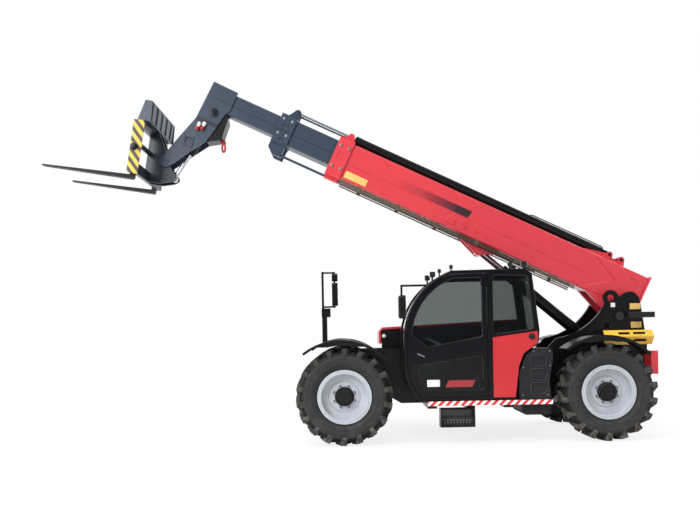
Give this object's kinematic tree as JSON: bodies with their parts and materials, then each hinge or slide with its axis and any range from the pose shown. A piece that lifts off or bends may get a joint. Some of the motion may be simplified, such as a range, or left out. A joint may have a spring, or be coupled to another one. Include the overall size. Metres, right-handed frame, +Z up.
{
  "type": "telehandler",
  "caption": "Telescopic handler with a side cab, an extending boom raised ahead of the machine and a pallet fork carriage on a tilting head, on large lugged tyres that all steer.",
  "frame": {"origin": "on the ground under the middle of the overall box", "axes": "+X forward along the forks, +Y to the machine's left where the cab is, +Z up"},
  "size_m": [8.51, 2.47, 5.115],
  "materials": {
    "red_paint": "gloss",
    "black_paint": "satin",
    "slate_paint": "satin",
    "silver_paint": "satin",
    "yellow_paint": "satin",
    "rod_chrome": "polished",
    "cast_iron": "matte",
    "tyre_rubber": "matte",
    "window_glass": "polished",
    "black_plastic": "matte",
    "lamp_plastic": "gloss",
    "seat_fabric": "matte"
  },
  "bodies": {
    "chassis": {"side_plates": "black_paint", "cross_members": "black_paint", "pivot_pin": "cast_iron", "counterweight": "red_paint", "axles": "cast_iron", "fenders": "black_paint", "cab_roof": "black_paint", "cab_floor": "black_paint", "cab_front": "black_paint", "cab_rear": "black_paint", "cab_left_side": "black_paint", "cab_right_side": "black_paint", "cab_glass": "window_glass", "quarter_panel": "red_paint", "side_locker": "black_plastic", "sill": "black_paint", "step": "black_paint", "belly_tank": "black_plastic", "seat": "seat_fabric", "steering_console": "black_plastic", "engine_block": "cast_iron", "engine_tub": "black_paint", "rear_guards": "yellow_paint", "lamps": "lamp_plastic", "mirrors": "black_paint"},
    "hood_lid": {"engine_hood": "red_paint"},
    "cab_door": {"door": "black_paint", "door_glass": "window_glass"},
    "boom_base": {"outer_boom": "red_paint", "extend_barrel": "black_paint", "boom_pipes": "black_paint"},
    "boom_middle": {"mid_boom": "slate_paint", "extend_rod": "rod_chrome"},
    "boom_tip": {"inner_boom": "slate_paint"},
    "lift_cylinder": {"lift_barrel": "black_paint"},
    "lift_piston": {"lift_rod": "rod_chrome"},
    "tilt_cylinder": {"tilt_barrel": "black_paint"},
    "tilt_piston": {"tilt_rod": "rod_chrome"},
    "fork_carriage": {"carriage": "slate_paint", "backrest": "slate_paint", "forks": "black_paint"},
    "steer_front_left": {"knuckle_front_left": "cast_iron"},
    "wheel_front_left": {"tyre_front_left": "tyre_rubber", "rim_front_left": "silver_paint"},
    "steer_front_right": {"knuckle_front_right": "cast_iron"},
    "wheel_front_right": {"tyre_front_right": "tyre_rubber", "rim_front_right": "silver_paint"},
    "steer_rear_left": {"knuckle_rear_left": "cast_iron"},
    "wheel_rear_left": {"tyre_rear_left": "tyre_rubber", "rim_rear_left": "silver_paint"},
    "steer_rear_right": {"knuckle_rear_right": "cast_iron"},
    "wheel_rear_right": {"tyre_rear_right": "tyre_rubber", "rim_rear_right": "silver_paint"}
  },
  "joints": [
    {"name": "boom_lift", "type": "hinge", "parent": "chassis", "child": "boom_base", "pos_m": [-3.7306, 0, 1.64], "axis": [0, -1, 0], "range_deg": [-29.5, 44.5]},
    {"name": "lift_piston_swing", "type": "hinge", "parent": "boom_base", "child": "lift_piston", "pos_m": [-1.81928, 0, 2.62921], "axis": [0, -1, 0], "range_deg": [-2.78, 2.18]},
    {"name": "lift_cylinder_slide", "type": "slide", "parent": "lift_piston", "child": "lift_cylinder", "axis": [-0.7629, 0, -0.6466], "range_m": [-0.2314, 0.344]},
    {"name": "boom_extend", "type": "slide", "parent": "boom_base", "child": "boom_middle", "axis": [0.9026, 0, 0.4305], "range_m": [-0.63, 2.75]},
    {"name": "boom_extend_tip", "type": "slide", "parent": "boom_middle", "child": "boom_tip", "axis": [0.9026, 0, 0.4305], "range_m": [-0.63, 2.75]},
    {"name": "carriage_tilt", "type": "hinge", "parent": "boom_tip", "child": "fork_carriage", "pos_m": [2.68741, 0, 3.98883], "axis": [0, 1, 0], "range_deg": [-30, 85]},
    {"name": "tilt_cylinder_swing", "type": "hinge", "parent": "boom_tip", "child": "tilt_cylinder", "pos_m": [1.95535, 0, 4.67114], "axis": [0, -1, 0], "range_deg": [-1.85, 1.3]},
    {"name": "tilt_piston_slide", "type": "slide", "parent": "tilt_cylinder", "child": "tilt_piston", "axis": [0.5612, 0, -0.8277], "range_m": [-0.3438, 0.1278]},
    {"name": "cab_door_swing", "type": "hinge", "parent": "chassis", "child": "cab_door", "pos_m": [-1.7416, 1.218, 1.33], "axis": [0, 0, 1], "range_deg": [0, 150]},
    {"name": "hood_open", "type": "hinge", "parent": "chassis", "child": "hood_lid", "pos_m": [-1.4791, -0.362, 1.58], "axis": [-0.9991, 0, 0.0425], "range_deg": [0, 60]},
    {"name": "steer_front_left", "type": "hinge", "parent": "chassis", "child": "steer_front_left", "pos_m": [0.1534, 0.9, 0.63795], "axis": [0, 0, 1], "range_deg": [-35, 35]},
    {"name": "spin_front_left", "type": "hinge", "parent": "steer_front_left", "child": "wheel_front_left", "pos_m": [0.1534, 1.038, 0.63795], "axis": [0, 1, 0], "continuous": true},
    {"name": "steer_front_right", "type": "hinge", "parent": "chassis", "child": "steer_front_right", "pos_m": [0.1534, -0.9, 0.63795], "axis": [0, 0, 1], "range_deg": [-35, 35]},
    {"name": "spin_front_right", "type": "hinge", "parent": "steer_front_right", "child": "wheel_front_right", "pos_m": [0.1534, -1.038, 0.63795], "axis": [0, 1, 0], "continuous": true},
    {"name": "steer_rear_left", "type": "hinge", "parent": "chassis", "child": "steer_rear_left", "pos_m": [-3.2966, 0.9, 0.63795], "axis": [0, 0, 1], "range_deg": [-35, 35]},
    {"name": "spin_rear_left", "type": "hinge", "parent": "steer_rear_left", "child": "wheel_rear_left", "pos_m": [-3.2966, 1.038, 0.63795], "axis": [0, 1, 0], "continuous": true},
    {"name": "steer_rear_right", "type": "hinge", "parent": "chassis", "child": "steer_rear_right", "pos_m": [-3.2966, -0.9, 0.63795], "axis": [0, 0, 1], "range_deg": [-35, 35]},
    {"name": "spin_rear_right", "type": "hinge", "parent": "steer_rear_right", "child": "wheel_rear_right", "pos_m": [-3.2966, -1.038, 0.63795], "axis": [0, 1, 0], "continuous": true}
  ],
  "couplings": [
    {"joint": "lift_piston_swing", "follows": "boom_lift", "ratio": -0.04},
    {"joint": "lift_cylinder_slide", "follows": "boom_lift", "m_per_rad": 0.43},
    {"joint": "boom_extend_tip", "follows": "boom_extend", "ratio": 1},
    {"joint": "tilt_cylinder_swing", "follows": "carriage_tilt", "ratio": -0.01},
    {"joint": "tilt_piston_slide", "follows": "carriage_tilt", "m_per_rad": -0.225},
    {"joint": "steer_front_right", "follows": "steer_front_left", "ratio": 1},
    {"joint": "steer_rear_right", "follows": "steer_rear_left", "ratio": 1}
  ]
}
